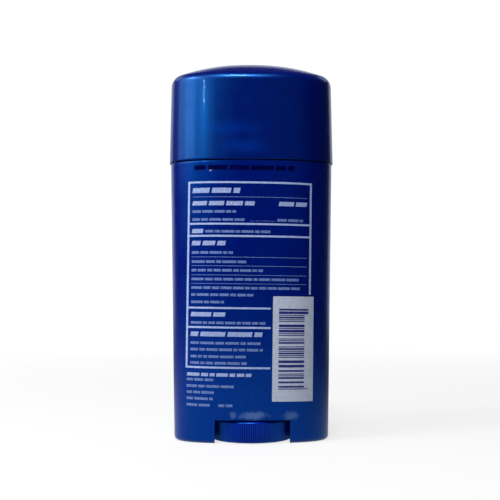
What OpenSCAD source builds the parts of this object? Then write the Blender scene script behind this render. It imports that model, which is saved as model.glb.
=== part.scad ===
// Oval twist-up deodorant stick: barrel, pull-off cap, dial with screw, elevator and product.
// The origin is the centre of the foot, and the printed back faces -Y.

/* [Barrel] */
// Width of the barrel at its foot
barrel_width = 58.9; // [54:0.1:64]
// Depth of the barrel at its foot
barrel_depth = 28.4; // [26:0.1:32]
// Squareness of the oval section, where 2 is an ellipse
section_power = 2.5; // [2.2:0.1:3]
// Height of the ledge under the cap
ledge_height = 105.3; // [100:0.1:112]
// Growth on every side from the foot to the ledge, the mould's draft
barrel_draft = 1.8; // [1.4:0.1:2.2]
// Wall thickness above the floor
barrel_wall = 1.3; // [1.1:0.1:1.6]
// Wall thickness of the skirt below the floor
skirt_wall = 1.9; // [1.8:0.1:2.3]
// Rounding of the foot's outer edge
foot_radius = 1.6; // [0.8:0.1:1.7]
// Thickness of the floor that the dial hangs from
floor_thickness = 1.4; // [1:0.1:2]
// Height of the neck above the ledge
neck_height = 7.7; // [5:0.1:10]
// Wall thickness of the neck
neck_wall = 1.2; // [0.9:0.1:1.4]
// Bevel round the top of the neck
neck_bevel = 0.4; // [0.2:0.1:0.5]
// Thickness of the cross webs beside the dial
web_thickness = 1.2; // [0.8:0.1:1.6]

/* [Cap] */
// Amount that the cap stands out past the barrel
cap_overhang = 0.5; // [0.3:0.1:0.8]
// Wall thickness of the cap's skirt
cap_wall = 1.3; // [1.1:0.1:1.5]
// Thickness of the cap's roof
roof_thickness = 1.6; // [1.2:0.1:2]
// Height of the straight side, from the cap's edge to its shoulder
cap_side = 29.95; // [26:0.05:34]
// Draft angle of the cap's side
cap_draft = 1.1; // [0.5:0.1:1.5]
// Rounding of the shoulder
shoulder_radius = 4.3; // [3:0.1:5]
// Rise from the shoulder to the top of the crown
crown_rise = 9; // [8:0.1:10]
// Fullness of the crown, where 2 is a plain dome
crown_power = 2.1; // [2:0.1:2.4]
// Gap between the cap's edge and the ledge
cap_seat_gap = 0.3; // [0.2:0.05:0.5]
// Clearance between the cap and the neck
neck_clearance = 0.3; // [0.25:0.05:0.4]

/* [Dial] */
// Radius over the dial's grip ribs
dial_radius = 15.3; // [14.9:0.1:15.8]
// Height of the dial
dial_height = 7.65; // [6.5:0.05:9]
// Height of the dial above the surface that the stick stands on
dial_lift = 0.35; // [0.2:0.05:0.6]
// Number of grip ribs
grip_ribs = 116; // [90:2:130]
// Depth of the grooves between the ribs
rib_depth = 0.35; // [0.2:0.05:0.5]
// Width of the dial's top edge bevel
dial_bevel = 0.5; // [0.3:0.1:0.8]
// Wall thickness of the dial
dial_wall = 1.5; // [1.2:0.1:1.8]
// Number of spokes under the dial
dial_spokes = 6; // [4:1:8]
// Width of the slot that the dial shows through
slot_width = 27.9; // [26:0.1:29]
// Gap between the dial's top and the slot's top
slot_gap = 0.65; // [0.4:0.05:0.9]
// Running gap between the dial and the floor, above and below
thrust_gap = 0.3; // [0.2:0.05:0.4]

/* [Screw] */
// Radius of the bearing hole in the floor
bearing_radius = 4; // [3.9:0.05:4.2]
// Running clearance of the screw's journal
bearing_clearance = 0.08; // [0.05:0.01:0.1]
// Radius of the rod that the thread winds round
thread_rod = 3; // [2.8:0.1:3.1]
// Distance of the rod from the axis, which makes the thread
thread_throw = 0.6; // [0.4:0.05:0.7]
// Rise of the thread in one turn
thread_lead = 5; // [4:0.5:6]
// Clearance between the thread and the nut
thread_clearance = 0.3; // [0.25:0.05:0.35]
// Snap ring's reach past the bearing hole
snap_reach = 0.7; // [0.4:0.1:0.9]
// Height of the snap ring
snap_height = 1.2; // [1:0.1:1.4]
// Length of thread that stays in the nut at the top of the travel
thread_engaged = 5; // [4:0.5:5.5]
// Length of the screw's plain tip
tip_length = 1.5; // [1:0.1:2]

/* [Elevator] */
// Depth of the platform's top face below the ledge as stored
platform_drop = 7.3; // [6.3:0.1:11.3]
// Travel of the elevator above its stored height
travel_up = 11.5; // [8:0.5:12]
// Clearance between the elevator and the barrel where they are closest
elevator_clearance = 0.35; // [0.3:0.05:0.5]
// Thickness of the platform
platform_thickness = 1.5; // [1.2:0.1:2]
// Height of the rim that holds the product's foot
rim_height = 5; // [3:0.5:7]
// Height of the skirt that keeps the platform level
guide_height = 6.5; // [5:0.5:9]
// Wall thickness of the rim and the skirt
rim_wall = 1; // [0.8:0.1:1.2]
// Outer radius of the nut's tube
tube_radius = 5.8; // [5.6:0.1:6.2]
// Bore radius of the nut's tube above the nut
tube_bore = 4.2; // [4.1:0.05:4.4]
// Length of the nut
nut_length = 6; // [6:0.5:8]
// Gap between the tube and the snap ring at the bottom of the travel
bottom_gap = 0.4; // [0.3:0.1:0.6]
// Thickness of the ribs between the tube and the skirt
brace_thickness = 1.1; // [0.8:0.1:1.4]

/* [Product] */
// Height of the product's straight side above the platform
product_side = 19; // [15:0.5:20]
// Rounding of the product's edge
product_radius = 4; // [3:0.1:5]
// Rise of the product's dome above its side
product_rise = 9; // [8:0.1:10]
// Gap between the product and the elevator's rim
product_gap = 0.05; // [0.02:0.01:0.1]
// Length of the hollow for the screw beyond the tip's highest place
hollow_spare = 0.6; // [0.5:0.1:1.5]
// Thickness of the product above the hollow, which sets how long the nut's tube is
hollow_roof = 4.35; // [3:0.05:8]

/* [Print] */
// Thickness of the ink films
ink = 0.05; // [0.03:0.01:0.08]
// Clearance between the ink films and the barrel
ink_gap = 0.01; // [0.005:0.005:0.02]
// Turn of the print on the barrel, clockwise as seen from the back
print_tilt = 0.7; // [0:0.1:1]
// Margin between the barrel's left side and the ruled panel
left_margin = 5.4; // [5:0.05:9]
// Margin between the ruled panel and the barrel's right side
right_margin = 7; // [6:0.05:9]
// Depth of the ruled panel's top edge below the ledge
panel_drop = 8.2; // [7:0.1:15]
// Bottom edge of the ruled panel
panel_bottom = 27.5; // [24:0.1:34]
// Width of the panel's border and of its heavy rules
heavy_line = 0.7; // [0.5:0.05:1]
// Width of the panel's light rules
light_line = 0.3; // [0.2:0.05:0.45]
// Margin between the light rules and the border
light_margin = 1; // [0.8:0.1:2]
// Width of the pale code field
field_width = 15.4; // [12:0.1:16]
// Height of the pale code field
field_height = 38.9; // [34:0.1:42]
// Bottom edge of the pale code field
field_bottom = 15.6; // [13:0.1:18]
// Amount that the code field stands out past the panel's right edge
field_jut = 1.15; // [0:0.05:1.5]
// Gap between the panel's lines and the code field
field_margin = 0.8; // [0.4:0.1:1.5]

/* [Hidden] */
shell_blue = [0.03, 0.16, 0.55];
cap_blue = [0.04, 0.22, 0.64];
ink_pale = [0.74, 0.78, 0.93];
field_pale = [0.67, 0.73, 0.81];
platform_white = [0.86, 0.87, 0.88];
product_white = [0.96, 0.96, 0.94];

// Points round each oval ring, and steps of the roundings and crowns
ring_points = 80;
foot_steps = 4;
shoulder_steps = 5;
crown_steps = 7;
inner_shoulder_steps = 3;
inner_crown_steps = 4;
round_fn = 96;
thread_fn = 14;
thread_slices = 10;

// Search for the angle where a shoulder meets its crown
solve_steps = 24;
least_turn = 5;
most_turn = 89.9;

// Overshoot of the cutting tools, and the amounts that keep faces from just touching
cut = 1;
tiny = 0.000001;
skin_margin = 2;

half_width = barrel_width / 2;
half_depth = barrel_depth / 2;
draft_slope = barrel_draft / ledge_height;

dial_top = dial_lift + dial_height;
floor_low = dial_top + slot_gap;
floor_top = floor_low + floor_thickness;
neck_top = ledge_height + neck_height;

cap_edge = ledge_height + cap_seat_gap;
cap_reach = barrel_draft + cap_overhang;
cap_shoulder = cap_edge + cap_side;
neck_reach = cap_inside(neck_top) - neck_clearance;
bore_reach = neck_reach - neck_wall;
floor_reach = draft_slope * floor_top - barrel_wall;

snap_low = floor_top + thrust_gap;
snap_top = snap_low + snap_height;
nut_lowest = snap_top + bottom_gap;
platform_height = ledge_height - platform_drop;
product_shoulder = platform_height + product_side;
product_top = product_shoulder + product_rise;
screw_reach = travel_up + thread_engaged + tip_length;
nut_bottom = (product_top - hollow_roof - hollow_spare - screw_reach + nut_lowest) / 2;
travel_down = nut_bottom - nut_lowest;
thread_top = nut_bottom + travel_up + thread_engaged;
screw_top = thread_top + tip_length;

guide_bottom = platform_height - platform_thickness - guide_height;
elevator_reach = bore_offset(guide_bottom - travel_down) - elevator_clearance;
hollow_top = screw_top + travel_down + hollow_spare;

web_place = dial_radius + web_thickness;
panel_left = left_margin - half_width;
panel_right = half_width - right_margin;
panel_top = ledge_height - panel_drop;
field_left = panel_right + field_jut - field_width;

// Places of the rules, as shares of the panel's height from its top
light_rules = [0.0835, 0.406, 0.453, 0.502, 0.548];
heavy_rules = [0.228, 0.293, 0.678, 0.7816];

// Offset of the barrel's outside from its foot section, at a height
function barrel_offset(z) = draft_slope * z;

// Offset of the cap's inside, at a height
function cap_inside(z) = cap_reach - cap_wall - (z - cap_edge) * tan(cap_draft);

// Offset of the barrel's bore, at a height
function bore_offset(z) =
    floor_reach + (bore_reach - floor_reach) * (z - floor_top) / (neck_top - floor_top);

// Point of the foot section whose outward normal has this angle
function section_point(angle) =
    let (across = max(abs(cos(angle)), tiny),
         ratio = pow(half_depth / half_width * abs(sin(angle)) / across, 1 / (section_power - 1)),
         reach = pow(1 + pow(ratio, section_power), -1 / section_power))
    [sign(cos(angle)) * half_width * reach, sign(sin(angle)) * half_depth * reach * ratio];

function ring_angle(i) = 360 * i / ring_points;
function normal(i) = [cos(ring_angle(i)), sin(ring_angle(i))];

// Points of the section moved outward by an offset
function outline(offset) =
    [for (i = [0 : ring_points - 1]) section_point(ring_angle(i)) + offset * normal(i)];

// Ring of the section at one height
function ring(offset, z) = [for (p = outline(offset)) [p[0], p[1], z]];

// Half depth of an offset section at a place across it
function half_depth_at(x, offset) =
    (half_depth + offset) * pow(1 - pow(abs(x) / (half_width + offset), section_power), 1 / section_power);

// Angle through which the shoulder turns before its slope meets the crown's
function shoulder_turn(reach, radius, rise, low, high, steps) =
    let (middle = (low + high) / 2)
    steps == 0 ? middle :
    (reach + radius * cos(middle)) / tan(middle) > crown_power * (rise - radius * sin(middle)) ?
        shoulder_turn(reach, radius, rise, middle, high, steps - 1) :
        shoulder_turn(reach, radius, rise, low, middle, steps - 1);

// Rounded shoulder and domed crown on a section, as rings from the shoulder to near the top
function dome(offset, z, radius, rise, turn_steps, top_steps) =
    let (inner = outline(offset - radius),
         turns = [for (i = [0 : ring_points - 1])
             shoulder_turn(inner[i] * normal(i), radius, rise, least_turn, most_turn, solve_steps)],
         shoulder = [for (k = [0 : turn_steps]) [for (i = [0 : ring_points - 1])
             let (turn = turns[i] * k / turn_steps, p = inner[i] + radius * cos(turn) * normal(i))
             [p[0], p[1], z + radius * sin(turn)]]],
         rim = shoulder[turn_steps])
    concat(shoulder, [for (k = [1 : top_steps - 1]) [for (p = rim)
        let (share = 1 - k / top_steps)
        [p[0] * share, p[1] * share, z + rise - (z + rise - p[2]) * pow(share, crown_power)]]]);

function backwards(list) = [for (i = [len(list) - 1 : -1 : 0]) list[i]];

// Solid between rings in order, closed at both ends by a fan round the axis
module loft(rings, start_z, end_z) {
    count = len(rings);
    ends = count * ring_points;
    polyhedron(
        points = concat([for (r = rings) each r], [[0, 0, start_z], [0, 0, end_z]]),
        faces = [for (i = [0 : ring_points - 1])
            let (j = (i + 1) % ring_points, last = (count - 1) * ring_points)
            each concat(
                [[ends, i, j], [last + i, ends + 1, last + j]],
                [for (k = [0 : count - 2])
                    let (low = k * ring_points, high = low + ring_points)
                    each [[low + i, high + i, high + j], [low + i, high + j, low + j]]])]);
}

// Plate across the section between its two walls
module cross_plate(x, thickness, offset, low, high) {
    half = half_depth_at(abs(x) + thickness / 2, offset);
    translate([x - thickness / 2, -half, low]) cube([thickness, 2 * half, high - low]);
}

module barrel() {
    skirt_offset = -skirt_wall;
    foot = [for (k = [0 : foot_steps])
        let (turn = 90 * k / foot_steps)
        ring(barrel_offset(foot_radius * (1 - cos(turn))) - foot_radius * (1 - sin(turn)),
             foot_radius * (1 - cos(turn)))];
    shell = concat(
        [ring(skirt_offset + barrel_offset(floor_low), floor_low), ring(skirt_offset, 0)],
        foot,
        [ring(barrel_offset(ledge_height), ledge_height),
         ring(neck_reach, ledge_height),
         ring(neck_reach, neck_top - neck_bevel),
         ring(neck_reach - neck_bevel, neck_top),
         ring(bore_reach, neck_top),
         ring(floor_reach, floor_top)]);
    color(shell_blue) {
        difference() {
            loft(shell, floor_low, floor_top);
            translate([-slot_width / 2, -half_depth - cut, -cut])
                cube([slot_width, barrel_depth + 2 * cut, floor_low + cut]);
            translate([0, 0, floor_low - cut])
                cylinder(r = bearing_radius, h = floor_thickness + 2 * cut, $fn = round_fn);
        }
        for (side = [-1, 1])
            cross_plate(side * web_place, web_thickness, -skirt_wall / 2, dial_lift,
                        floor_low + floor_thickness / 2);
    }
}

module cap() {
    inner_shoulder = cap_inside(cap_shoulder);
    outer_shoulder = cap_reach - cap_side * tan(cap_draft);
    inside = dome(inner_shoulder, cap_shoulder, shoulder_radius - cap_wall, crown_rise - roof_thickness,
                  inner_shoulder_steps, inner_crown_steps);
    edge = [ring(cap_inside(cap_edge), cap_edge), ring(cap_reach, cap_edge)];
    outside = dome(outer_shoulder, cap_shoulder, shoulder_radius, crown_rise, shoulder_steps, crown_steps);
    color(cap_blue)
        loft(concat(backwards(inside), edge, outside),
             cap_shoulder + crown_rise - roof_thickness, cap_shoulder + crown_rise);
}

// Rod that winds round the axis, which is the screw's thread and, enlarged, the nut's
module thread(radius, low, high) {
    length = high - low;
    translate([0, 0, low]) rotate([0, 0, 360 * low / thread_lead])
        linear_extrude(height = length, twist = -360 * length / thread_lead,
                       slices = ceil(thread_slices * length / thread_lead))
            translate([thread_throw, 0]) circle(r = radius, $fn = thread_fn);
}

module dial_screw() {
    groove_radius = dial_radius - rib_depth;
    rim_radius = groove_radius - rib_depth / 2;
    inner_radius = groove_radius - dial_wall;
    tip_radius = thread_rod - 2 * thread_throw;
    web_low = dial_lift + dial_wall;
    bevel_low = dial_top - dial_bevel;
    journal = bearing_radius - bearing_clearance;
    color(shell_blue) {
        difference() {
            union() {
                translate([0, 0, dial_lift]) linear_extrude(height = bevel_low - dial_lift)
                    polygon([for (i = [0 : 2 * grip_ribs - 1])
                        let (r = i % 2 == 0 ? dial_radius : groove_radius, a = 180 * i / grip_ribs)
                        [r * cos(a), r * sin(a)]]);
                translate([0, 0, bevel_low])
                    cylinder(r1 = rim_radius, r2 = rim_radius - dial_bevel, h = dial_bevel, $fn = round_fn);
            }
            translate([0, 0, dial_lift - cut])
                cylinder(r = inner_radius, h = dial_height - dial_wall + cut, $fn = round_fn);
        }
        for (i = [0 : dial_spokes - 1]) rotate([0, 0, 360 * i / dial_spokes])
            translate([0, -dial_wall / 2, web_low])
                cube([inner_radius + dial_wall / 2, dial_wall, dial_top - dial_wall / 2 - web_low]);
        translate([0, 0, dial_lift])
            cylinder(r = journal + dial_wall, h = floor_low - thrust_gap - dial_lift, $fn = round_fn);
        translate([0, 0, dial_lift]) cylinder(r = journal, h = snap_low - dial_lift, $fn = round_fn);
        translate([0, 0, snap_low])
            cylinder(r1 = bearing_radius + snap_reach, r2 = journal, h = snap_height, $fn = round_fn);
        thread(thread_rod, snap_top - snap_height / 2, thread_top);
        translate([0, 0, thread_top - tip_length])
            cylinder(r = tip_radius, h = 2 * tip_length, $fn = round_fn);
    }
}

module elevator() {
    platform_low = platform_height - platform_thickness;
    rim_top = platform_height + rim_height;
    inner_reach = elevator_reach - rim_wall;
    tray = [ring(inner_reach, platform_low), ring(inner_reach, guide_bottom),
            ring(elevator_reach, guide_bottom), ring(elevator_reach, rim_top),
            ring(inner_reach, rim_top), ring(inner_reach, platform_height)];
    overlap = rim_wall / 2;
    brace_low = guide_bottom + rim_wall;
    brace_high = platform_low + overlap;
    brace_end = half_width + inner_reach + overlap;
    color(platform_white) difference() {
        union() {
            loft(tray, platform_low, platform_height);
            translate([0, 0, nut_bottom])
                cylinder(r = tube_radius, h = brace_high - nut_bottom, $fn = round_fn);
            translate([-brace_end, -brace_thickness / 2, brace_low])
                cube([2 * brace_end, brace_thickness, brace_high - brace_low]);
            for (side = [-1, 1])
                cross_plate(side * half_width / 2, brace_thickness, inner_reach + overlap,
                            brace_low, brace_high);
        }
        translate([0, 0, nut_bottom + nut_length])
            cylinder(r = tube_bore, h = platform_height - nut_bottom, $fn = round_fn);
        thread(thread_rod + thread_clearance, nut_bottom - cut, nut_bottom + nut_length + cut);
    }
}

module product_stick() {
    foot_reach = elevator_reach - rim_wall - product_gap;
    foot_top = platform_height + rim_height + product_gap;
    low = platform_height + product_gap;
    color(product_white) difference() {
        loft(concat([ring(foot_reach, low), ring(foot_reach, foot_top), ring(elevator_reach, foot_top)],
                    dome(elevator_reach, product_shoulder, product_radius, product_rise,
                         inner_shoulder_steps, inner_crown_steps + 1)),
             low, product_top);
        translate([0, 0, low - cut])
            cylinder(r = tube_bore, h = hollow_top - low + cut, $fn = round_fn);
    }
}

// Skin on the barrel's outside that ink films are cut from
module ink_skin(low, high) {
    difference() {
        tube_of_section(ink_gap + ink, low, high);
        tube_of_section(ink_gap, low - cut, high + cut);
    }
}

// Barrel's outside between two heights, enlarged by an offset
module tube_of_section(offset, low, high) {
    loft([ring(barrel_offset(low) + offset, low), ring(barrel_offset(high) + offset, high)], low, high);
}

// Flat artwork laid on the back of the barrel, which faces -Y
module on_back() {
    rotate([90, 0, 0]) linear_extrude(height = barrel_depth)
        translate([0, panel_top]) rotate(-print_tilt) translate([0, -panel_top]) children();
}

module bar(left, right, middle, width) {
    translate([left, middle - width / 2]) square([right - left, width]);
}

module printed_panel() {
    height = panel_top - panel_bottom;
    width = panel_right - panel_left;
    clear_left = field_left - field_margin;
    clear_top = field_bottom + field_height + field_margin;
    color(ink_pale) intersection() {
        ink_skin(field_bottom, panel_top + heavy_line);
        on_back() difference() {
            union() {
                difference() {
                    translate([panel_left, panel_bottom]) square([width, height]);
                    translate([panel_left + heavy_line, panel_bottom + heavy_line])
                        square([width - 2 * heavy_line, height - 2 * heavy_line]);
                }
                for (share = heavy_rules)
                    bar(panel_left, panel_right, panel_top - share * height, heavy_line);
                for (share = light_rules)
                    bar(panel_left + heavy_line + light_margin, panel_right - heavy_line - light_margin,
                        panel_top - share * height, light_line);
            }
            translate([clear_left, panel_bottom - cut])
                square([width, clear_top - panel_bottom + cut]);
        }
    }
}

module printed_code_field() {
    color(field_pale) intersection() {
        ink_skin(field_bottom - skin_margin, field_bottom + field_height + skin_margin);
        on_back() translate([field_left, field_bottom]) square([field_width, field_height]);
    }
}

barrel();
cap();
dial_screw();
elevator();
product_stick();
printed_panel();
printed_code_field();
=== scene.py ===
import math
import random

import bmesh
import bpy
from mathutils import Matrix, Vector


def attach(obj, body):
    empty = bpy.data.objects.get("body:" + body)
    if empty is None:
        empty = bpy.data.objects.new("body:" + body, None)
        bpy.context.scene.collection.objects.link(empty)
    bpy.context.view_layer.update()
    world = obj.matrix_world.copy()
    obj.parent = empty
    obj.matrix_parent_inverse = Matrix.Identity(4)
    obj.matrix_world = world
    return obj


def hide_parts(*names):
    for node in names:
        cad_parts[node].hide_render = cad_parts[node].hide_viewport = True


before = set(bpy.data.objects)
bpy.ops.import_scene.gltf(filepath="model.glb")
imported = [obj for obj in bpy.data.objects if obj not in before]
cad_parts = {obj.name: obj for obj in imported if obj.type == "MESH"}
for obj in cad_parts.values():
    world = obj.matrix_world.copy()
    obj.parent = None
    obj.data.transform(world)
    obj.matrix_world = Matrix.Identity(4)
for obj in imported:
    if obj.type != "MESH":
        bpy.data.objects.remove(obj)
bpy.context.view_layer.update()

mm = 0.001
mergeReach = 1e-7  # metres within which two points of a mesh are one
planeReach = 1e-6  # metres within which a point lies on a cut
print("frame loaded:", sorted(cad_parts))

# The oval section that every moulding follows, in millimetres
oval = {"halfWidth": 29.45, "halfDepth": 14.2, "power": 2.5, "segments": 160}


def ovalPlace(turn, offset, z):
    across = max(abs(math.cos(turn)), 1e-6)  # never zero
    steepness = oval["halfDepth"] / oval["halfWidth"] * abs(math.sin(turn)) / across
    ratio = steepness ** (1 / (oval["power"] - 1))
    reach = (1 + ratio ** oval["power"]) ** (-1 / oval["power"])
    x = math.copysign(oval["halfWidth"] * reach, math.cos(turn)) + offset * math.cos(turn)
    y = math.copysign(oval["halfDepth"] * reach * ratio, math.sin(turn)) + offset * math.sin(turn)
    return Vector((x, y, z)) * mm


def roundPlace(turn, radius, z):
    return Vector((radius * math.cos(turn), radius * math.sin(turn), z)) * mm


def backDepth(x, offset):  # half depth of the offset section at a place across it
    share = min(abs(x) / (oval["halfWidth"] + offset), 1)
    return (oval["halfDepth"] + offset) * (1 - share ** oval["power"]) ** (1 / oval["power"])


def startRing(bm, place, segments=None):
    turn = bm.verts.layers.float.get("turn") or bm.verts.layers.float.new("turn")
    ring = bmesh.ops.create_circle(bm, segments=segments or oval["segments"], radius=1)["verts"]
    for v in ring:
        v[turn] = math.atan2(v.co.y, v.co.x)
        v.co = place(v[turn])
    return list({e for v in ring for e in v.link_edges})


def growRing(bm, edges, place):
    turn = bm.verts.layers.float["turn"]
    grown = bmesh.ops.extrude_edge_only(bm, edges=edges)["geom"]
    for v in grown:
        if isinstance(v, bmesh.types.BMVert):
            v.co = place(v[turn])
    return [g for g in grown if isinstance(g, bmesh.types.BMEdge)]


def closeRing(bm, edges, centre):  # a fan round one middle point
    hub = bmesh.ops.extrude_edge_only(bm, edges=edges)["geom"]
    hubVerts = [g for g in hub if isinstance(g, bmesh.types.BMVert)]
    bmesh.ops.pointmerge(bm, verts=hubVerts, merge_co=centre)


def bevelEdges(bm, edges, width, steps=2):
    bmesh.ops.bevel(bm, geom=edges, offset=width * mm, segments=steps, profile=0.5, affect="EDGES",
                    material=-1, clamp_overlap=True)


# A drafted wall, with rings near its ends that keep it flat there
def growSide(bm, edges, start, end, stops):
    for z in stops:
        share = (z - start[1]) / (end[1] - start[1])
        offset = start[0] + (end[0] - start[0]) * share
        edges = growRing(bm, edges, lambda turn: ovalPlace(turn, offset, z))
    return edges


def sharpEdges(bm, degrees, wanted=lambda middle: True):
    found = []
    for e in bm.edges:
        if len(e.link_faces) == 2 and e.calc_face_angle(0) > math.radians(degrees):
            if wanted((e.verts[0].co + e.verts[1].co) / 2 / mm):
                found.append(e)
    return found


def makePiece(name, bm, body, material, replaced=(), smoothAngle=40, outward=True):
    layer = bm.verts.layers.float.get("turn")
    if layer:
        bm.verts.layers.float.remove(layer)
    if outward:
        bmesh.ops.remove_doubles(bm, verts=bm.verts, dist=mergeReach)
        bmesh.ops.recalc_face_normals(bm, faces=bm.faces)
    mesh = bpy.data.meshes.new(name)
    bm.to_mesh(mesh)
    bm.free()
    piece = bpy.data.objects.new(name, mesh)
    bpy.context.scene.collection.objects.link(piece)
    mesh.materials.append(material)
    mesh.shade_smooth()
    mesh.set_sharp_from_angle(angle=math.radians(smoothAngle))
    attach(piece, body)
    if replaced:
        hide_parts(*replaced)
    print("piece", name, len(mesh.polygons), "faces")


# Nodes that several finishes use. What feeds a socket is another socket, or a plain number or colour
def feed(links, socket, value):
    if isinstance(value, bpy.types.NodeSocket):
        links.new(value, socket)
    else:
        socket.default_value = value


def addMath(nodes, links, operation, *values, kind="ShaderNodeMath"):
    node = nodes.new(kind)
    node.operation = operation
    for socket, value in zip(node.inputs, values):
        feed(links, socket, value)
    return node.outputs["Value"]


def addRange(nodes, links, value, start, end, low=0, high=1, curve="LINEAR"):
    node = nodes.new("ShaderNodeMapRange")
    node.interpolation_type = curve
    fed = {"Value": value, "From Min": start, "From Max": end, "To Min": low, "To Max": high}
    for label in fed:
        feed(links, node.inputs[label], fed[label])
    return node.outputs["Result"]


def addNoise(nodes, links, place, scale, detail):
    node = nodes.new("ShaderNodeTexNoise")
    for label, value in (("Vector", place), ("Scale", scale), ("Detail", detail)):
        feed(links, node.inputs[label], value)
    return node.outputs["Fac"]


def addBlend(nodes, links, share, low, high):
    node = nodes.new("ShaderNodeMix")
    node.data_type = "RGBA"
    for index, value in ((0, share), (6, low), (7, high)):  # the factor and the two colours
        feed(links, node.inputs[index], value)
    return node.outputs[2]


def newGroup(name, inputs, outputs):
    group = bpy.data.node_groups.new(name, "ShaderNodeTree")
    for label, kind in inputs:
        group.interface.new_socket(name=label, in_out="INPUT", socket_type=kind)
    for label, kind in outputs:
        group.interface.new_socket(name=label, in_out="OUTPUT", socket_type=kind)
    return group, group.nodes.new("NodeGroupInput"), group.nodes.new("NodeGroupOutput")


pearlGrain = {"flow": (1, 1, 0.12), "streakDetail": 3, "cloudScale": 70, "cloudDetail": 2, "flakeScale": 3000,
              "flakeShare": 0.25, "colourSpan": (0.35, 0.9), "roughSpan": (0.3, 0.7), "relief": 0.02}


def buildPearlGroup():
    group, given, out = newGroup("pearlPigment", [
        ("Deep", "NodeSocketColor"), ("Light", "NodeSocketColor"), ("Streak Scale", "NodeSocketFloat"),
        ("Roughness Low", "NodeSocketFloat"), ("Roughness High", "NodeSocketFloat")],
        [("Color", "NodeSocketColor"), ("Roughness", "NodeSocketFloat"), ("Height", "NodeSocketFloat")])
    nodes, links = group.nodes, group.links
    place = nodes.new("ShaderNodeTexCoord").outputs["Object"]
    flow = nodes.new("ShaderNodeMapping")  # melt flow runs up the wall, so the streaks are long in Z
    flow.inputs["Scale"].default_value = pearlGrain["flow"]
    links.new(place, flow.inputs["Vector"])
    streak = addNoise(nodes, links, flow.outputs["Vector"], given.outputs["Streak Scale"],
                      pearlGrain["streakDetail"])
    cloud = addNoise(nodes, links, place, pearlGrain["cloudScale"], pearlGrain["cloudDetail"])
    flake = nodes.new("ShaderNodeTexVoronoi")  # clumps of mica flakes, a third of a millimetre across
    flake.inputs["Scale"].default_value = pearlGrain["flakeScale"]
    links.new(place, flake.inputs["Vector"])
    sparkle = nodes.new("ShaderNodeSeparateColor")
    links.new(flake.outputs["Color"], sparkle.inputs["Color"])
    both = addMath(nodes, links, "MULTIPLY_ADD", sparkle.outputs["Red"], pearlGrain["flakeShare"], streak)
    level = addRange(nodes, links, both, *pearlGrain["colourSpan"])
    colour = addBlend(nodes, links, level, given.outputs["Deep"], given.outputs["Light"])
    rough = addRange(nodes, links, cloud, *pearlGrain["roughSpan"], given.outputs["Roughness Low"],
                     given.outputs["Roughness High"])
    for label, value in (("Color", colour), ("Roughness", rough), ("Height", streak)):
        links.new(value, out.inputs[label])
    return group


frayDetail = 4


# On the cap these soft patches are painted reflection
def buildMarkGroup():  # a soft patch with a ragged edge round a place on the object
    group, given, out = newGroup("palePatchAndReflection", [
        ("Centre", "NodeSocketVector"), ("Reach", "NodeSocketVector"), ("Ragged", "NodeSocketFloat"),
        ("Grain", "NodeSocketFloat"), ("Outer", "NodeSocketFloat"), ("Inner", "NodeSocketFloat")],
        [("Mask", "NodeSocketFloat")])
    nodes, links = group.nodes, group.links
    place = nodes.new("ShaderNodeTexCoord").outputs["Object"]
    local = nodes.new("ShaderNodeMapping")
    local.vector_type = "TEXTURE"
    links.new(place, local.inputs["Vector"])
    links.new(given.outputs["Centre"], local.inputs["Location"])
    links.new(given.outputs["Reach"], local.inputs["Scale"])
    away = addMath(nodes, links, "LENGTH", local.outputs["Vector"], kind="ShaderNodeVectorMath")
    fray = addNoise(nodes, links, place, given.outputs["Grain"], frayDetail)
    edge = addMath(nodes, links, "MULTIPLY_ADD", fray, given.outputs["Ragged"], away)
    mask = addRange(nodes, links, edge, given.outputs["Outer"], given.outputs["Inner"], curve="SMOOTHSTEP")
    links.new(mask, out.inputs["Mask"])
    return group


pearlGroup = buildPearlGroup()
markGroup = buildMarkGroup()


def newMaterial(name):
    material = bpy.data.materials.new(name)
    material.use_nodes = True
    shader = material.node_tree.nodes["Principled BSDF"]
    return material, material.node_tree.nodes, material.node_tree.links, shader


def addBump(nodes, links, shader, height, distance, strength):
    bump = nodes.new("ShaderNodeBump")
    bump.inputs["Distance"].default_value = distance * mm
    bump.inputs["Strength"].default_value = strength
    links.new(height, bump.inputs["Height"])
    links.new(bump.outputs["Normal"], shader.inputs["Normal"])


# Pearl blue mouldings: indigo body, blue flakes near the surface and a clear skin
def buildPearl(name, look):
    material, nodes, links, shader = newMaterial(name)
    pearl = nodes.new("ShaderNodeGroup")
    pearl.node_tree = pearlGroup
    for label, value in (("Deep", look["deep"]), ("Light", look["light"]), ("Streak Scale", look["streaks"]),
                         ("Roughness Low", look["roughness"][0]), ("Roughness High", look["roughness"][1])):
        pearl.inputs[label].default_value = value
    links.new(pearl.outputs["Color"], shader.inputs["Base Color"])
    links.new(pearl.outputs["Roughness"], shader.inputs["Roughness"])
    shader.inputs["IOR"].default_value = look["flakeIor"]
    shader.inputs["Specular Tint"].default_value = look["flakeTint"]
    shader.inputs["Coat Weight"].default_value = look["coat"]
    shader.inputs["Coat Roughness"].default_value = look["coatRoughness"]
    addBump(nodes, links, shader, pearl.outputs["Height"], pearlGrain["relief"], look["bump"])
    for mark in look["marks"]:
        addMark(nodes, links, shader, *mark)
    return material


def addMark(nodes, links, shader, centre, reach, ragged, grain, fade, colour, strength):
    mark = nodes.new("ShaderNodeGroup")
    mark.node_tree = markGroup
    for label, value in (("Centre", Vector(centre) * mm), ("Reach", Vector(reach) * mm), ("Ragged", ragged),
                         ("Grain", grain), ("Outer", fade[0]), ("Inner", fade[1])):
        mark.inputs[label].default_value = value
    weight = addMath(nodes, links, "MULTIPLY", mark.outputs["Mask"], strength)
    under = shader.inputs["Base Color"].links[0].from_socket
    links.new(addBlend(nodes, links, weight, under, colour), shader.inputs["Base Color"])


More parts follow.
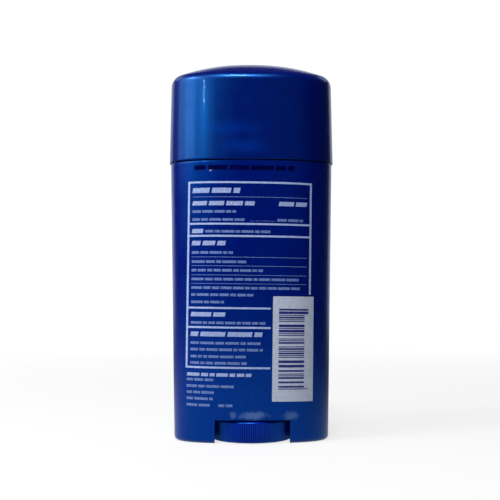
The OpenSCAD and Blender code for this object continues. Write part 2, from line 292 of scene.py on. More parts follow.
# A mark's centre and reach in millimetres, raggedness, grain, fade from outside in, colour and strength
palePatchBlue = (0.2, 0.34, 0.62, 1)
# The barrel's marks are pale patches just above the slot and a small pale spot on the left just under the cap
barrelLook = {"deep": (0, 0.0008, 0.13, 1), "light": (0, 0.0026, 0.188, 1), "streaks": 700,
              "roughness": (0.24, 0.31), "flakeIor": 2.0, "flakeTint": (0, 0.3, 1, 1),
              "coat": 0.05, "coatRoughness": 0.12, "bump": 0.12,
              "marks": [((0.4, -14.3, 10.4), (5.6, 3, 1.7), 1.1, 600, (1.7, 0.9), palePatchBlue, 0.4),
                        ((14.3, -13.3, 10.2), (3.4, 3, 1.8), 1.1, 600, (1.7, 0.9), palePatchBlue, 0.32),
                        ((-7.2, -14.2, 10.5), (1.4, 3, 1.6), 1.1, 600, (1.7, 0.9), palePatchBlue, 0.28),
                        ((-15.7, -14.1, 102), (1, 2.5, 1.1), 1, 1500, (1.5, 0.9), (0.5, 0.62, 0.75, 1), 0.9)]}
# The cap's two marks are painted reflection: lighter blue patches where a dim reflection lies on the lower
# front of the cap
capLook = {"deep": (0, 0.0006, 0.1, 1), "light": (0, 0.0023, 0.148, 1), "streaks": 600,
           "roughness": (0.23, 0.31), "flakeIor": 2.0, "flakeTint": (0, 0.31, 1, 1),
           "coat": 0.08, "coatRoughness": 0.06, "bump": 0.012,
           "marks": [((-6.5, -16, 117.5), (9, 6, 3.2), 1.2, 130, (2.2, 0.5), (0, 0.022, 0.28, 1), 0.7),
                     ((-2, -16, 110.5), (8, 6, 3), 1.2, 130, (2.2, 0.5), (0, 0.022, 0.28, 1), 0.7)]}
# The dial's blue is lighter than the barrel's: painted light that makes up for the shade it sits in, inside
# the slot
dialLook = {"deep": (0, 0.004, 0.24, 1), "light": (0, 0.01, 0.34, 1), "streaks": 900,
            "roughness": (0.28, 0.36), "flakeIor": 1.95, "flakeTint": (0, 0.32, 1, 1),
            "coat": 0.07, "coatRoughness": 0.15, "bump": 0.05, "marks": []}
barrelBlue = buildPearl("barrelBlue", barrelLook)
capBlue = buildPearl("capBlue", capLook)
dialBlueLightened = buildPearl("dialBlueLightened", dialLook)

inkGrain = {"detail": 4, "span": (0.3, 0.62), "relief": 0.01, "bump": 0.2}


def buildInk(name, look):
    material, nodes, links, shader = newMaterial(name)
    place = nodes.new("ShaderNodeTexCoord").outputs["Object"]
    speckle = addNoise(nodes, links, place, look["speckle"], inkGrain["detail"])
    cover = addRange(nodes, links, speckle, *inkGrain["span"])
    links.new(addBlend(nodes, links, cover, look["thin"], look["full"]), shader.inputs["Base Color"])
    shader.inputs["Roughness"].default_value = look["roughness"]
    shader.inputs["Specular IOR Level"].default_value = look["gloss"]
    addBump(nodes, links, shader, speckle, inkGrain["relief"], inkGrain["bump"])
    return material


lineInk = buildInk("lineInk", {"thin": (0.32, 0.42, 0.74, 1), "full": (0.44, 0.55, 0.88, 1), "speckle": 1100,
                               "roughness": 0.45, "gloss": 0.3})
headingInk = buildInk("headingInk", {"thin": (0.2, 0.28, 0.57, 1), "full": (0.4, 0.5, 0.84, 1),
                                     "speckle": 1900, "roughness": 0.45, "gloss": 0.3})
wordInk = buildInk("wordInk", {"thin": (0.06, 0.11, 0.34, 1), "full": (0.17, 0.26, 0.58, 1), "speckle": 2200,
                               "roughness": 0.5, "gloss": 0.3})
fieldInk = buildInk("fieldInk", {"thin": (0.49, 0.55, 0.7, 1), "full": (0.575, 0.65, 0.81, 1), "speckle": 900,
                                 "roughness": 0.5, "gloss": 0.3})
barInk = buildInk("barInk", {"thin": (0.04, 0.06, 0.3, 1), "full": (0.005, 0.008, 0.13, 1), "speckle": 1500,
                             "roughness": 0.45, "gloss": 0.3})
coderInk = buildInk("coderInk", {"thin": (0, 0.001, 0.075, 1), "full": (0, 0.0003, 0.03, 1), "speckle": 1300,
                                 "roughness": 0.5, "gloss": 0.02})

softGrain = {"detail": 5, "scatter": 1.2, "bump": 0.35}


def buildSoftWhite(name, look):  # natural resin and wax let some light in
    material, nodes, links, shader = newMaterial(name)
    place = nodes.new("ShaderNodeTexCoord").outputs["Object"]
    mottle = addNoise(nodes, links, place, look["mottle"], softGrain["detail"])
    links.new(addBlend(nodes, links, mottle, look["low"], look["high"]), shader.inputs["Base Color"])
    shader.inputs["Roughness"].default_value = look["roughness"]
    shader.inputs["Subsurface Weight"].default_value = look["subsurface"]
    shader.inputs["Subsurface Scale"].default_value = softGrain["scatter"] * mm
    addBump(nodes, links, shader, mottle, look["relief"], softGrain["bump"])
    return material


elevatorWhite = buildSoftWhite("elevatorWhite", {"mottle": 260, "low": (0.72, 0.73, 0.74, 1),
                                                 "high": (0.84, 0.85, 0.86, 1), "roughness": 0.45,
                                                 "subsurface": 0.1, "relief": 0.02})
productWhite = buildSoftWhite("productWhite", {"mottle": 420, "low": (0.74, 0.74, 0.705, 1),
                                               "high": (0.83, 0.83, 0.8, 1), "roughness": 0.6,
                                               "subsurface": 0.25, "relief": 0.06})
print("materials made")

# Cap: thin drafted shell with a rounded shoulder and a domed crown
cap = {"edge": 105.6, "reach": 2.3, "wall": 1.3, "side": 29.95, "draft": 1.1, "shoulder": 4.3, "crownRise": 9,
       "crownPower": 2.1, "roof": 1.6, "shoulderSteps": 9, "crownSteps": 20, "lip": 0.22, "lipAngle": 60,
       "lipReach": 0.01, "sideSteps": (0.5, 1.2, 5, 10, 15, 20, 25), "nearShoulder": 0.6,
       "slopeSpan": (5, 89.9), "slopeHalvings": 30}


def shoulderTurn(turn, offset, radius, rise):  # where the shoulder's slope meets the crown's
    rim = ovalPlace(turn, offset - radius, 0) / mm
    reach = rim.x * math.cos(turn) + rim.y * math.sin(turn)
    low, high = (math.radians(degrees) for degrees in cap["slopeSpan"])
    for halving in range(cap["slopeHalvings"]):
        middle = (low + high) / 2
        slope = (reach + radius * math.cos(middle)) / math.tan(middle)
        if slope > cap["crownPower"] * (rise - radius * math.sin(middle)):
            low = middle
        else:
            high = middle
    return middle


def growDome(bm, edges, offset, z, radius, rise):
    def shoulderPlace(turn, share):
        lean = shoulderTurn(turn, offset, radius, rise) * share
        return ovalPlace(turn, offset - radius + radius * math.cos(lean), z + radius * math.sin(lean))

    def crownPlace(turn, share):
        rim = shoulderPlace(turn, 1)
        top = (z + rise) * mm
        return Vector((rim.x * share, rim.y * share, top - (top - rim.z) * share ** cap["crownPower"]))

    for k in range(1, cap["shoulderSteps"] + 1):
        edges = growRing(bm, edges, lambda turn: shoulderPlace(turn, k / cap["shoulderSteps"]))
    for k in range(1, cap["crownSteps"]):
        edges = growRing(bm, edges, lambda turn: crownPlace(turn, 1 - k / cap["crownSteps"]))
    closeRing(bm, edges, Vector((0, 0, (z + rise) * mm)))


def capSideOffset(z, start):
    return start - (z - cap["edge"]) * math.tan(math.radians(cap["draft"]))


def buildCap():
    bm = bmesh.new()
    shoulderZ = cap["edge"] + cap["side"]
    inner = cap["reach"] - cap["wall"]
    stops = [cap["edge"] + step for step in cap["sideSteps"]] + [shoulderZ - cap["nearShoulder"], shoulderZ]
    rim = startRing(bm, lambda turn: ovalPlace(turn, cap["reach"], cap["edge"]))
    top = capSideOffset(shoulderZ, cap["reach"])
    outside = growSide(bm, rim, (cap["reach"], cap["edge"]), (top, shoulderZ), stops)
    growDome(bm, outside, top, shoulderZ, cap["shoulder"], cap["crownRise"])
    lip = growRing(bm, rim, lambda turn: ovalPlace(turn, inner, cap["edge"]))
    innerTop = capSideOffset(shoulderZ, inner)
    inside = growSide(bm, lip, (inner, cap["edge"]), (innerTop, shoulderZ), stops)
    growDome(bm, inside, innerTop, shoulderZ, cap["shoulder"] - cap["wall"], cap["crownRise"] - cap["roof"])
    rimEdges = sharpEdges(bm, cap["lipAngle"], lambda middle: abs(middle.z - cap["edge"]) < cap["lipReach"])
    bevelEdges(bm, rimEdges, cap["lip"])
    makePiece("capShell", bm, "cap", capBlue, ["cap"])


buildCap()

# Barrel: drafted tube with floor, skirt, ledge and neck
barrel = {"height": 105.3, "draft": 1.8, "footRadius": 1.6, "footSteps": 6, "skirtWall": 1.9, "wall": 1.3,
          "floorLow": 8.65, "floorTop": 10.05, "hole": 4.0, "neckTop": 113.0, "neckWall": 1.2,
          "neckBevel": 0.4, "neckGap": 0.3, "ledgeRound": 0.3, "ledgeSteps": 3, "slotHalf": 13.95,
          "slotTop": 8.62, "webPlace": 16.5, "webThickness": 1.2, "webLow": 0.35, "webOverlap": 0.7,
          "smoothAngle": 35,
          "sideStops": (2.2, 4, 6, 9.2, 12, 20, 30, 40, 50, 60, 70, 80, 90, 98, 103, 104.4)}


def barrelOffset(z):
    return barrel["draft"] * z / barrel["height"]


def buildBarrel():
    bm = bmesh.new()
    neck = capSideOffset(barrel["neckTop"], cap["reach"] - cap["wall"]) - barrel["neckGap"]
    bore = neck - barrel["neckWall"]
    floorReach = barrelOffset(barrel["floorTop"]) - barrel["wall"]
    edges = startRing(bm, lambda turn: roundPlace(turn, barrel["hole"], barrel["floorLow"]))
    first = edges
    wallOffset = -barrel["skirtWall"]
    rings = [(wallOffset + barrelOffset(barrel["floorLow"]), barrel["floorLow"]), (wallOffset, 0)]
    for k in range(barrel["footSteps"] + 1):
        lean = math.pi / 2 * k / barrel["footSteps"]
        z = barrel["footRadius"] * (1 - math.cos(lean))
        rings.append((barrelOffset(z) - barrel["footRadius"] * (1 - math.sin(lean)), z))
    top, soft = barrel["height"], barrel["ledgeRound"]
    rings += [(barrelOffset(z), z) for z in barrel["sideStops"]]
    for k in range(barrel["ledgeSteps"] + 1):
        lean = math.pi / 2 * k / barrel["ledgeSteps"]
        rings.append((barrelOffset(top) - soft * (1 - math.cos(lean)), top - soft * (1 - math.sin(lean))))
    rings += [(neck, top), (neck, barrel["neckTop"] - barrel["neckBevel"]),
              (neck - barrel["neckBevel"], barrel["neckTop"]), (bore, barrel["neckTop"]),
              (floorReach, barrel["floorTop"])]
    for offset, z in rings:
        edges = growRing(bm, edges, lambda turn: ovalPlace(turn, offset, z))
    edges = growRing(bm, edges, lambda turn: roundPlace(turn, barrel["hole"], barrel["floorTop"]))
    bmesh.ops.bridge_loops(bm, edges=edges + first)
    cutSlot(bm)
    for side in (-1, 1):
        addWeb(bm, side)
    makePiece("barrelShell", bm, "barrel", barrelBlue, ["barrel"], barrel["smoothAngle"])


def cutSlot(bm):  # the dial's slot goes right through the skirt, front and back
    half, top = barrel["slotHalf"] * mm, barrel["slotTop"] * mm
    for point, direction in (((half, 0, 0), (1, 0, 0)), ((-half, 0, 0), (1, 0, 0)), ((0, 0, top), (0, 0, 1))):
        bmesh.ops.bisect_plane(bm, geom=bm.verts[:] + bm.edges[:] + bm.faces[:], dist=mergeReach,
                               plane_co=point, plane_no=direction)
    inSlot = [f for f in bm.faces if abs(f.calc_center_median().x) < half and f.calc_center_median().z < top]
    bmesh.ops.delete(bm, geom=inSlot, context="FACES")
    for sideY in (-1, 1):
        for sideX in (-1, 1):  # an edge closes the skirt's cut wall at each corner of the slot
            ends = [v for v in bm.verts if v.is_boundary and abs(v.co.x - sideX * half) < planeReach
                    and abs(v.co.z - top) < planeReach and v.co.y * sideY > 0]
            ends.sort(key=lambda v: v.co.y * sideY)
            bm.edges.new((ends[0], ends[-1]))
    bmesh.ops.holes_fill(bm, edges=[e for e in bm.edges if len(e.link_faces) < 2], sides=0)


def addWeb(bm, side):
    thickness, low = barrel["webThickness"], barrel["webLow"]
    high = barrel["floorLow"] + barrel["webOverlap"]
    x = side * barrel["webPlace"]
    half = backDepth(abs(x) + thickness / 2, -barrel["skirtWall"] / 2)
    box = bmesh.ops.create_cube(bm, size=1)["verts"]
    bmesh.ops.scale(bm, verts=box, vec=(thickness * mm, 2 * half * mm, (high - low) * mm))
    bmesh.ops.translate(bm, verts=box, vec=(x * mm, 0, (low + high) / 2 * mm))


buildBarrel()

# Dial: ribbed ring, spokes, journal with snap ring, and the screw that winds round the axis
dial = {"radius": 15.3, "ribs": 116, "ribDepth": 0.35, "ribSteps": 6, "crestPower": 0.8, "low": 0.35,
        "top": 8.0, "bevel": 0.5, "bevelSteps": ((0.12, 0.3), (0.3, 0.08)), "footRound": 0.25,
        "innerRound": 0.2, "wall": 1.5, "journal": 3.92, "snapLow": 10.35, "snapHigh": 11.55,
        "snapRadius": 4.7, "spokes": 6, "hubTop": 8.35, "smoothAngle": 50, "rod": 3.0, "rodSteps": 24,
        "throw": 0.6, "lead": 5.0, "rootOverlap": 0.6, "threadTop": 74.0, "turnSteps": 24, "tip": 1.5,
        "tipTaper": 0.8, "tipSteps": 32}


def buildDial():
    bm = bmesh.new()
    low, top, bevel = dial["low"], dial["top"], dial["bevel"]
    groove = dial["radius"] - dial["ribDepth"]
    rim = groove - dial["ribDepth"] / 2
    inner = groove - dial["wall"]
    journal = dial["journal"]
    hub = journal + dial["wall"]

    def ribPlace(turn, z, inset=0):
        crest = 0.5 + 0.5 * math.cos(turn * dial["ribs"])
        return roundPlace(turn, groove + dial["ribDepth"] * crest ** dial["crestPower"] - inset, z)

    edges = startRing(bm, lambda turn: roundPlace(turn, inner, top - dial["wall"]),
                      dial["ribs"] * dial["ribSteps"])
    first = edges
    edges = growRing(bm, edges, lambda turn: roundPlace(turn, inner, low + dial["innerRound"]))
    edges = growRing(bm, edges, lambda turn: roundPlace(turn, inner + dial["innerRound"], low))
    edges = growRing(bm, edges, lambda turn: ribPlace(turn, low, dial["footRound"]))
    edges = growRing(bm, edges, lambda turn: ribPlace(turn, low + dial["footRound"]))
    edges = growRing(bm, edges, lambda turn: ribPlace(turn, top - bevel))
    rounding = ((0, bevel), *dial["bevelSteps"], (bevel, 0))  # in from the rim and down from the top
    rings = [(rim - inward, top - down) for inward, down in rounding]
    rings += [(hub, top), (hub, dial["hubTop"]), (journal, dial["hubTop"]), (journal, dial["snapLow"]),
              (dial["snapRadius"], dial["snapLow"]), (journal, dial["snapHigh"])]
    for radius, z in rings:
        edges = growRing(bm, edges, lambda turn: roundPlace(turn, radius, z))
    closeRing(bm, edges, Vector((0, 0, dial["snapHigh"] * mm)))
    under = growRing(bm, first, lambda turn: roundPlace(turn, hub, top - dial["wall"]))
    under = growRing(bm, under, lambda turn: roundPlace(turn, hub, low))
    closeRing(bm, under, Vector((0, 0, low * mm)))
    addSpokes(bm, inner)
    addThread(bm)
    makePiece("dialWheel", bm, "dial", dialBlueLightened, ["dial_screw"], dial["smoothAngle"])


def addSpokes(bm, inner):
    low, high = dial["low"] + dial["wall"], dial["top"] - dial["wall"] / 2
    start, end = dial["journal"] + dial["wall"] / 2, inner + dial["wall"] / 2
    box = bmesh.ops.create_cube(bm, size=1)["verts"]
    bmesh.ops.scale(bm, verts=box, vec=((end - start) * mm, dial["wall"] * mm, (high - low) * mm))
    bmesh.ops.translate(bm, verts=box, vec=((start + end) / 2 * mm, 0, (low + high) / 2 * mm))
    faces = list({f for v in box for f in v.link_faces})
    bmesh.ops.spin(bm, geom=box + list({e for f in faces for e in f.edges}) + faces, cent=(0, 0, 0),
                   axis=(0, 0, 1), angle=2 * math.pi * (dial["spokes"] - 1) / dial["spokes"],
                   steps=dial["spokes"] - 1, use_duplicate=True)


def addThread(bm):
    start = dial["snapHigh"] - dial["rootOverlap"]
    length = dial["threadTop"] - start
    steps = round(length / dial["lead"] * dial["turnSteps"])
    ring = bmesh.ops.create_circle(bm, segments=dial["rodSteps"], radius=dial["rod"] * mm)["verts"]
    bmesh.ops.translate(bm, verts=ring, vec=(dial["throw"] * mm, 0, start * mm))
    bmesh.ops.rotate(bm, verts=ring, cent=(0, 0, 0),
                     matrix=Matrix.Rotation(2 * math.pi * start / dial["lead"], 3, "Z"))
    edges = list({e for v in ring for e in v.link_edges})
    bmesh.ops.edgeloop_fill(bm, edges=edges)
    wound = bmesh.ops.spin(bm, geom=edges, cent=(0, 0, 0), axis=(0, 0, 1), steps=steps,
                           angle=2 * math.pi * length / dial["lead"],
                           dvec=(0, 0, length / steps * mm))["geom_last"]
    last = [g for g in wound if isinstance(g, bmesh.types.BMEdge)]
    bmesh.ops.edgeloop_fill(bm, edges=last)
    tipRadius = (dial["rod"] - 2 * dial["throw"]) * mm
    tip = bmesh.ops.create_cone(bm, cap_ends=True, segments=dial["tipSteps"], radius1=tipRadius,
                                radius2=tipRadius * dial["tipTaper"], depth=2 * dial["tip"] * mm)
    bmesh.ops.translate(bm, verts=tip["verts"], vec=(0, 0, dial["threadTop"] * mm))


buildDial()

# Elevator and wax product, which the cap and the barrel hide at rest
elevator = {"mergeReach": 1e-6, "smoothAngle": 30}
product = {"foot": 98.05, "seat": 103.05, "shoulder": 117.0, "rise": 9, "radius": 4.0, "hollow": 121.65,
           "bore": 4.2, "outer": -1.316, "inner": -2.366, "edge": 0.15,
           "sideStops": (103.8, 106, 110, 114, 116.4, 117)}


def buildElevator():
    bm = bmesh.new()
    bm.from_mesh(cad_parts["elevator"].data)
    bmesh.ops.remove_doubles(bm, verts=bm.verts, dist=elevator["mergeReach"])
    makePiece("elevatorTray", bm, "elevator", elevatorWhite, ["elevator"],
              elevator["smoothAngle"], outward=False)


def buildProduct():  # the foot sits in the rim, and the head is domed as it was cast in the cap
    bm = bmesh.new()
    hole = startRing(bm, lambda turn: roundPlace(turn, product["bore"], product["foot"]))
    edges = hole
    for offset, z in ((product["inner"], product["foot"]), (product["inner"], product["seat"]),
                      (product["outer"] - product["edge"], product["seat"]),
                      (product["outer"], product["seat"] + product["edge"])):
        edges = growRing(bm, edges, lambda turn: ovalPlace(turn, offset, z))
    side = (product["outer"], product["seat"] + product["edge"]), (product["outer"], product["shoulder"])
    edges = growSide(bm, edges, *side, product["sideStops"])
    growDome(bm, edges, product["outer"], product["shoulder"], product["radius"], product["rise"])
    hollow = growRing(bm, hole, lambda turn: roundPlace(turn, product["bore"], product["hollow"]))
    closeRing(bm, hollow, Vector((0, 0, product["hollow"] * mm)))
    makePiece("waxStick", bm, "elevator", productWhite, ["product_stick"])


buildElevator()
buildProduct()

# Print on the back, as thin films that follow the wall. It is turned a little, as on the real pack
panel = {"left": -24.05, "right": 22.45, "top": 97.1, "bottom": 27.5, "heavy": 0.7, "margin": 1.0,
         "tilt": 0.7, "film": 0.03, "lift": 0.02, "cellWidth": 1.2, "cellHeight": 8,
         "lightRules": [0.0835, 0.406, 0.453, 0.502, 0.548], "heavyRules": [0.228, 0.293],
         "shortRules": [0.678, 0.7816]}
field = {"width": 15.4, "height": 38.9, "bottom": 15.6, "jut": 1.15, "margin": 0.8}
code = {"left": 10.45, "right": 20.15, "guardRight": 21.6, "top": 49.9, "bottom": 19.1, "module": 0.324,
        "modules": (1, 1, 2, 3), "guardDepth": 1.5, "lift": 0.035, "seed": 7}


def addFilm(bm, left, right, low, high, lift, lean=0):
    cells = max(1, math.ceil((right - left) / panel["cellWidth"]))
    rows = max(1, math.ceil((high - low) / panel["cellHeight"]))
    sheet = bmesh.ops.create_grid(bm, x_segments=cells, y_segments=rows, size=0.5)["verts"]
    tilt = math.radians(panel["tilt"])
    for v in sheet:
        across = (left + right) / 2 + v.co.x * (right - left) + v.co.y * (high - low) * lean
        drop = (low + high) / 2 + v.co.y * (high - low) - panel["top"]
        x = across * math.cos(tilt) + drop * math.sin(tilt)
        z = panel["top"] + drop * math.cos(tilt) - across * math.sin(tilt)
        v.co = Vector((x, -backDepth(x, barrelOffset(z)) - lift, z)) * mm


def finishFilm(name, bm, material, replaced=()):
    bmesh.ops.recalc_face_normals(bm, faces=bm.faces)
    for f in bm.faces:
        if f.normal.y > 0:
            f.normal_flip()
    bmesh.ops.solidify(bm, geom=bm.faces[:], thickness=panel["film"] * mm)
    makePiece(name, bm, "barrel", material, replaced)


def buildPanel():
    bm = bmesh.new()
    left, right, top, bottom, heavy = (panel[k] for k in ("left", "right", "top", "bottom", "heavy"))
    height = top - bottom
    fieldTop = field["bottom"] + field["height"]
    shortRight = right + field["jut"] - field["width"] - field["margin"]
    lift = panel["lift"]
    addFilm(bm, left, right, top - heavy, top, lift)
    addFilm(bm, left, left + heavy, bottom, top - heavy, lift)
    addFilm(bm, right - heavy, right, fieldTop + field["margin"], top - heavy, lift)
    addFilm(bm, left + heavy, shortRight, bottom, bottom + heavy, lift)
    for share in panel["heavyRules"]:
        z = top - share * height
        addFilm(bm, left + heavy, right - heavy, z - heavy / 2, z + heavy / 2, lift)
    for share in panel["shortRules"]:
        z = top - share * height
        addFilm(bm, left + heavy, shortRight, z - heavy / 2, z + heavy / 2, lift)
    finishFilm("panelLines", bm, lineInk, ["printed_panel"])


def buildField():
    bm = bmesh.new()
    right = panel["right"] + field["jut"]
    left, top = right - field["width"], field["bottom"] + field["height"]
    addFilm(bm, left, right, field["bottom"], top, panel["lift"])
    finishFilm("codeField", bm, fieldInk, ["printed_code_field"])


def buildCodeBars():
    bm = bmesh.new()
    rng = random.Random(code["seed"])
    lift = panel["lift"] + code["lift"]
    z = code["top"]
    while z > code["bottom"] + code["module"]:
        thick = code["module"] * rng.choice(code["modules"])
        low = max(z - thick, code["bottom"])
        guard = z > code["top"] - code["guardDepth"] or low < code["bottom"] + code["guardDepth"]
        addFilm(bm, code["left"], code["guardRight"] if guard else code["right"], low, z, lift)
        z = low - code["module"] * rng.choice(code["modules"])
    finishFilm("codeBars", bm, barInk)


# Rows of plain blocks stand for the words, as drop below the panel's top, the row's two ends and, for a
# heading, its height
words = {"long": (1.5, 5.5), "gap": 0.5, "height": 0.95, "lift": 0.02, "ruleWidth": 0.2, "headingSeed": 11,
         "headingLean": 0.2, "rowSeed": 12}
headings = ((3.4, -22.3, -4.6, 1.9), (8.2, -22.3, 1.3, 1.6), (8.2, 10.0, 20.6, 1.6),
            (18.6, -22.3, -18.2, 1.6), (23.1, -22.3, -9.8, 1.7), (49.6, -22.3, -9.5, 1.6),
            (56.9, -22.3, 4.3, 1.7), (71.9, -23.5, 0.5, 1.2))
plainRows = ((11.3, -22.3, -6.0), (14.3, -22.3, -1.4), (14.3, 9.4, 19.2), (18.7, -17.4, 6.9),
             (26.6, -22.3, -5.8), (30.0, -22.3, -2.0), (33.2, -22.3, 4.3), (36.5, -22.3, 17.7),
             (39.7, -22.3, 19.2), (42.3, -22.3, 0.9), (45.0, -22.3, -10.0), (52.7, -22.3, 5.4),
             (60.2, -22.3, 4.6), (62.6, -22.3, 4.6), (65.2, -22.3, -1.7), (67.6, -22.3, -1.3),
             (73.8, -23.5, -12.2), (76.2, -23.5, -5.0), (78.5, -23.5, -12.5), (80.8, -23.5, -13.7),
             (83.2, -23.5, -13.8), (83.2, -11.6, -5.8))
leader = {"drop": 14.7, "left": -0.8, "right": 8.9, "pitch": 0.75, "dot": 0.3}
coder = {"drop": -5.2, "left": -21.8, "right": 15.6, "height": 1.7, "seed": 13}


def addWords(bm, rng, left, right, drop, height, lean=0):
    z = panel["top"] - drop
    x = left
    while x < right - height:
        end = min(x + height * rng.uniform(*words["long"]), right)
        addFilm(bm, x, end, z - height / 2, z + height / 2, words["lift"], lean)
        x = end + height * words["gap"]


def buildHeadings():
    bm = bmesh.new()
    rng = random.Random(words["headingSeed"])
    for drop, left, right, height in headings:
        addWords(bm, rng, left, right, drop, height, lean=words["headingLean"])
    finishFilm("panelHeadings", bm, headingInk)


def buildCoderRow():  # the dark row under the cap
    bm = bmesh.new()
    rng = random.Random(coder["seed"])
    addWords(bm, rng, coder["left"], coder["right"], coder["drop"], coder["height"])
    finishFilm("coderRow", bm, coderInk)


def buildWords():
    bm = bmesh.new()
    rng = random.Random(words["rowSeed"])
    for drop, left, right in plainRows:
        addWords(bm, rng, left, right, drop, words["height"])
    x = leader["left"]
    while x < leader["right"]:
        z = panel["top"] - leader["drop"]
        addFilm(bm, x, x + leader["dot"], z - leader["dot"] / 2, z + leader["dot"] / 2, words["lift"])
        x += leader["pitch"]
    inset = panel["heavy"] + panel["margin"]
    for share in panel["lightRules"]:
        z = panel["top"] - share * (panel["top"] - panel["bottom"])
        addFilm(bm, panel["left"] + inset, panel["right"] - inset, z - words["ruleWidth"] / 2,
                z + words["ruleWidth"] / 2, words["lift"])
    finishFilm("panelWords", bm, wordInk)


buildPanel()
buildField()
buildCodeBars()
buildHeadings()
buildWords()
buildCoderRow()

# Camera where the photograph was taken from, in metres and degrees, with the lens in millimetres
camera = {"distance": 0.344, "height": 0.0541, "around": -1.7, "pitch": 3.04, "lens": 63.8, "sensor": 36,
          "asidePixels": 1.3, "imagePixels": 500, "clipStart": 0.01}


def placeCamera():
    data = bpy.data.cameras.new("camera")
    data.lens = camera["lens"]
    data.sensor_width = camera["sensor"]
    data.clip_start = camera["clipStart"]
    view = bpy.data.objects.new("camera", data)
    bpy.context.scene.collection.objects.link(view)
    around, distance = math.radians(camera["around"]), camera["distance"]
    view.location = (distance * math.sin(around), -distance * math.cos(around), camera["height"])
    aside = math.atan(camera["asidePixels"] / camera["imagePixels"] * data.sensor_width / data.lens)
    view.rotation_euler = (math.radians(90 + camera["pitch"]), 0, around + aside)
    bpy.context.scene.camera = view


placeCamera()

# Studio: pale floor and backdrop in a dim room, with soft boxes round the object
studio = {"world": 0.05, "floorShade": 0.25, "paperRoughness": 0.8, "paperGloss": 0.1, "floorSize": 7,
          "backdropAt": 2.6, "backdropHeight": 1.8, "backdropMiddle": 0.7, "glowNear": 0.72, "glowFar": 0.95,
          "glowReach": (0.08, 0.9), "glossNear": (-0.1, -0.13, 0), "glossReach": (0.1, 0.42),
          "glossBack": (0.1, 1.4), "lampAim": (0, 0, 0.07)}
lamps = {  # azimuth and elevation in degrees, distance, width and height in metres, radiance
    "softBoxLeft": (-57, 31, 0.7, (0.27, 0.5), 4.6),
    "softBoxSide": (-80, 31, 0.7, (0.28, 0.5), 2.3),
    "softBoxOuter": (-103, 31, 0.7, (0.2, 0.5), 0.25),
    "softEdgeLeft": (-39, 30, 0.7, (0.16, 0.48), 1.5),
    "softTailLeft": (-27, 28, 0.7, (0.14, 0.44), 0.9),
    "softTailFront": (-15, 26, 0.7, (0.15, 0.4), 0.3),
    "softBoxCorner": (-62, 46, 0.8, (0.1, 0.08), 44),
    "softBoxTop": (-8, 60, 0.75, (0.12, 0.11), 50),
    "softBoxTopWide": (-20, 58, 0.75, (0.4, 0.22), 2.2),
    "stripLeft": (-33, 20.5, 0.8, (0.006, 0.07), 230),
    "frontFill": (20, 20, 1.2, (0.8, 0.7), 0.11),
    "softBoxBackLeft": (-125, 42, 0.9, (0.4, 0.3), 1.3),
    "softBoxBackRight": (125, 42, 0.9, (0.4, 0.3), 1.2),
    "softBoxCrown": (178, 40, 0.9, (0.5, 0.25), 1.0)}


def addLamp(name, azimuth, elevation, distance, size, radiance):
    data = bpy.data.lights.new(name, "AREA")
    data.shape = "RECTANGLE"
    data.size, data.size_y = size
    data.energy = radiance * math.pi * size[0] * size[1]
    lamp = bpy.data.objects.new(name, data)
    bpy.context.scene.collection.objects.link(lamp)
    a, e = math.radians(azimuth), math.radians(elevation)
    away = Vector((math.sin(a) * math.cos(e), -math.cos(a) * math.cos(e), math.sin(e)))
    lamp.location = Vector(studio["lampAim"]) + away * distance
    lamp.rotation_euler = away.to_track_quat("Z", "Y").to_euler()


for name, values in lamps.items():
    addLamp(name, *values)


def addSheet(name, material, place):  # a unit square whose corners are put in place
    bm = bmesh.new()
    for v in bmesh.ops.create_grid(bm, x_segments=1, y_segments=1, size=0.5)["verts"]:
        v.co = place(v.co.x, v.co.y)
    mesh = bpy.data.meshes.new(name)
    bm.to_mesh(mesh)
    bm.free()
    mesh.materials.append(material)
    sheet = bpy.data.objects.new(name, mesh)
    bpy.context.scene.collection.objects.link(sheet)


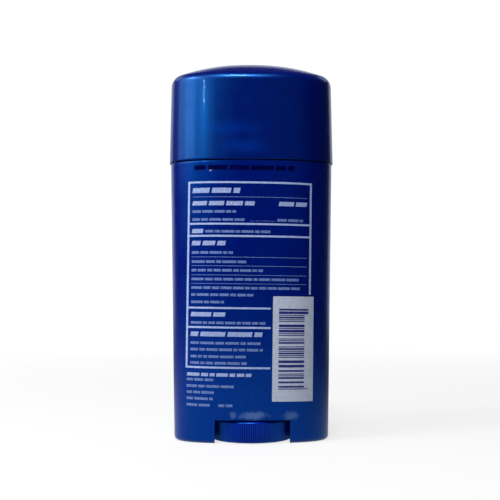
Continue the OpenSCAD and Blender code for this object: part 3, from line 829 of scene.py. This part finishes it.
def paleSurface(name, glowNear, glowFar):
    material, nodes, links, shader = newMaterial(name)
    shade = studio["floorShade"]
    shader.inputs["Base Color"].default_value = (shade, shade, shade, 1)
    shader.inputs["Roughness"].default_value = studio["paperRoughness"]
    shader.inputs["Specular IOR Level"].default_value = studio["paperGloss"]
    shader.inputs["Emission Color"].default_value = (1, 1, 1, 1)
    path = nodes.new("ShaderNodeLightPath").outputs
    place = nodes.new("ShaderNodeTexCoord").outputs["Object"]
    depth = nodes.new("ShaderNodeSeparateXYZ")
    links.new(place, depth.inputs["Vector"])
    # The gloss sees the room behind the object and the floor close to it, and the front of the room is dim
    back = addRange(nodes, links, depth.outputs["Y"], *studio["glossBack"], curve="SMOOTHSTEP")
    spread = addMath(nodes, links, "DISTANCE", place, studio["glossNear"], kind="ShaderNodeVectorMath")
    near, far = studio["glossReach"]
    close = addRange(nodes, links, spread, far, near, curve="SMOOTHSTEP")
    lit = addMath(nodes, links, "MAXIMUM", back, close)
    seen = path["Is Camera Ray"]
    for ray in ("Is Glossy Ray", "Is Transmission Ray"):
        share = addMath(nodes, links, "MULTIPLY", path[ray], lit)
        seen = addMath(nodes, links, "MAXIMUM", seen, share)
    # The lamps fade away from the object, and the glow takes over
    away = addMath(nodes, links, "LENGTH", place, kind="ShaderNodeVectorMath")
    fade = addRange(nodes, links, away, *studio["glowReach"], glowNear, glowFar, "SMOOTHSTEP")
    links.new(addMath(nodes, links, "MULTIPLY", seen, fade), shader.inputs["Emission Strength"])
    material.cycles.emission_sampling = "NONE"  # the glow is for what sees it, and lights nothing
    return material


def floorPlace(u, v):
    return Vector((u * studio["floorSize"], v * studio["floorSize"], 0))


def backdropPlace(u, v):
    height = v * studio["backdropHeight"] + studio["backdropMiddle"]
    return Vector((u * studio["floorSize"], studio["backdropAt"], height))


addSheet("floor", paleSurface("floorPaper", studio["glowNear"], studio["glowFar"]), floorPlace)
addSheet("backdrop", paleSurface("backdropPaper", 1, 1), backdropPlace)


def lightRoom():  # white to the camera, dim to the object
    world = bpy.data.worlds.new("room")
    world.use_nodes = True
    nodes, links = world.node_tree.nodes, world.node_tree.links
    background = nodes["Background"]
    background.inputs["Color"].default_value = (1, 1, 1, 1)
    seen = nodes.new("ShaderNodeLightPath").outputs["Is Camera Ray"]
    links.new(addMath(nodes, links, "MAXIMUM", seen, studio["world"]), background.inputs["Strength"])
    bpy.context.scene.world = world


lightRoom()
bpy.context.scene.view_settings.view_transform = "Standard"
print("camera and studio set")
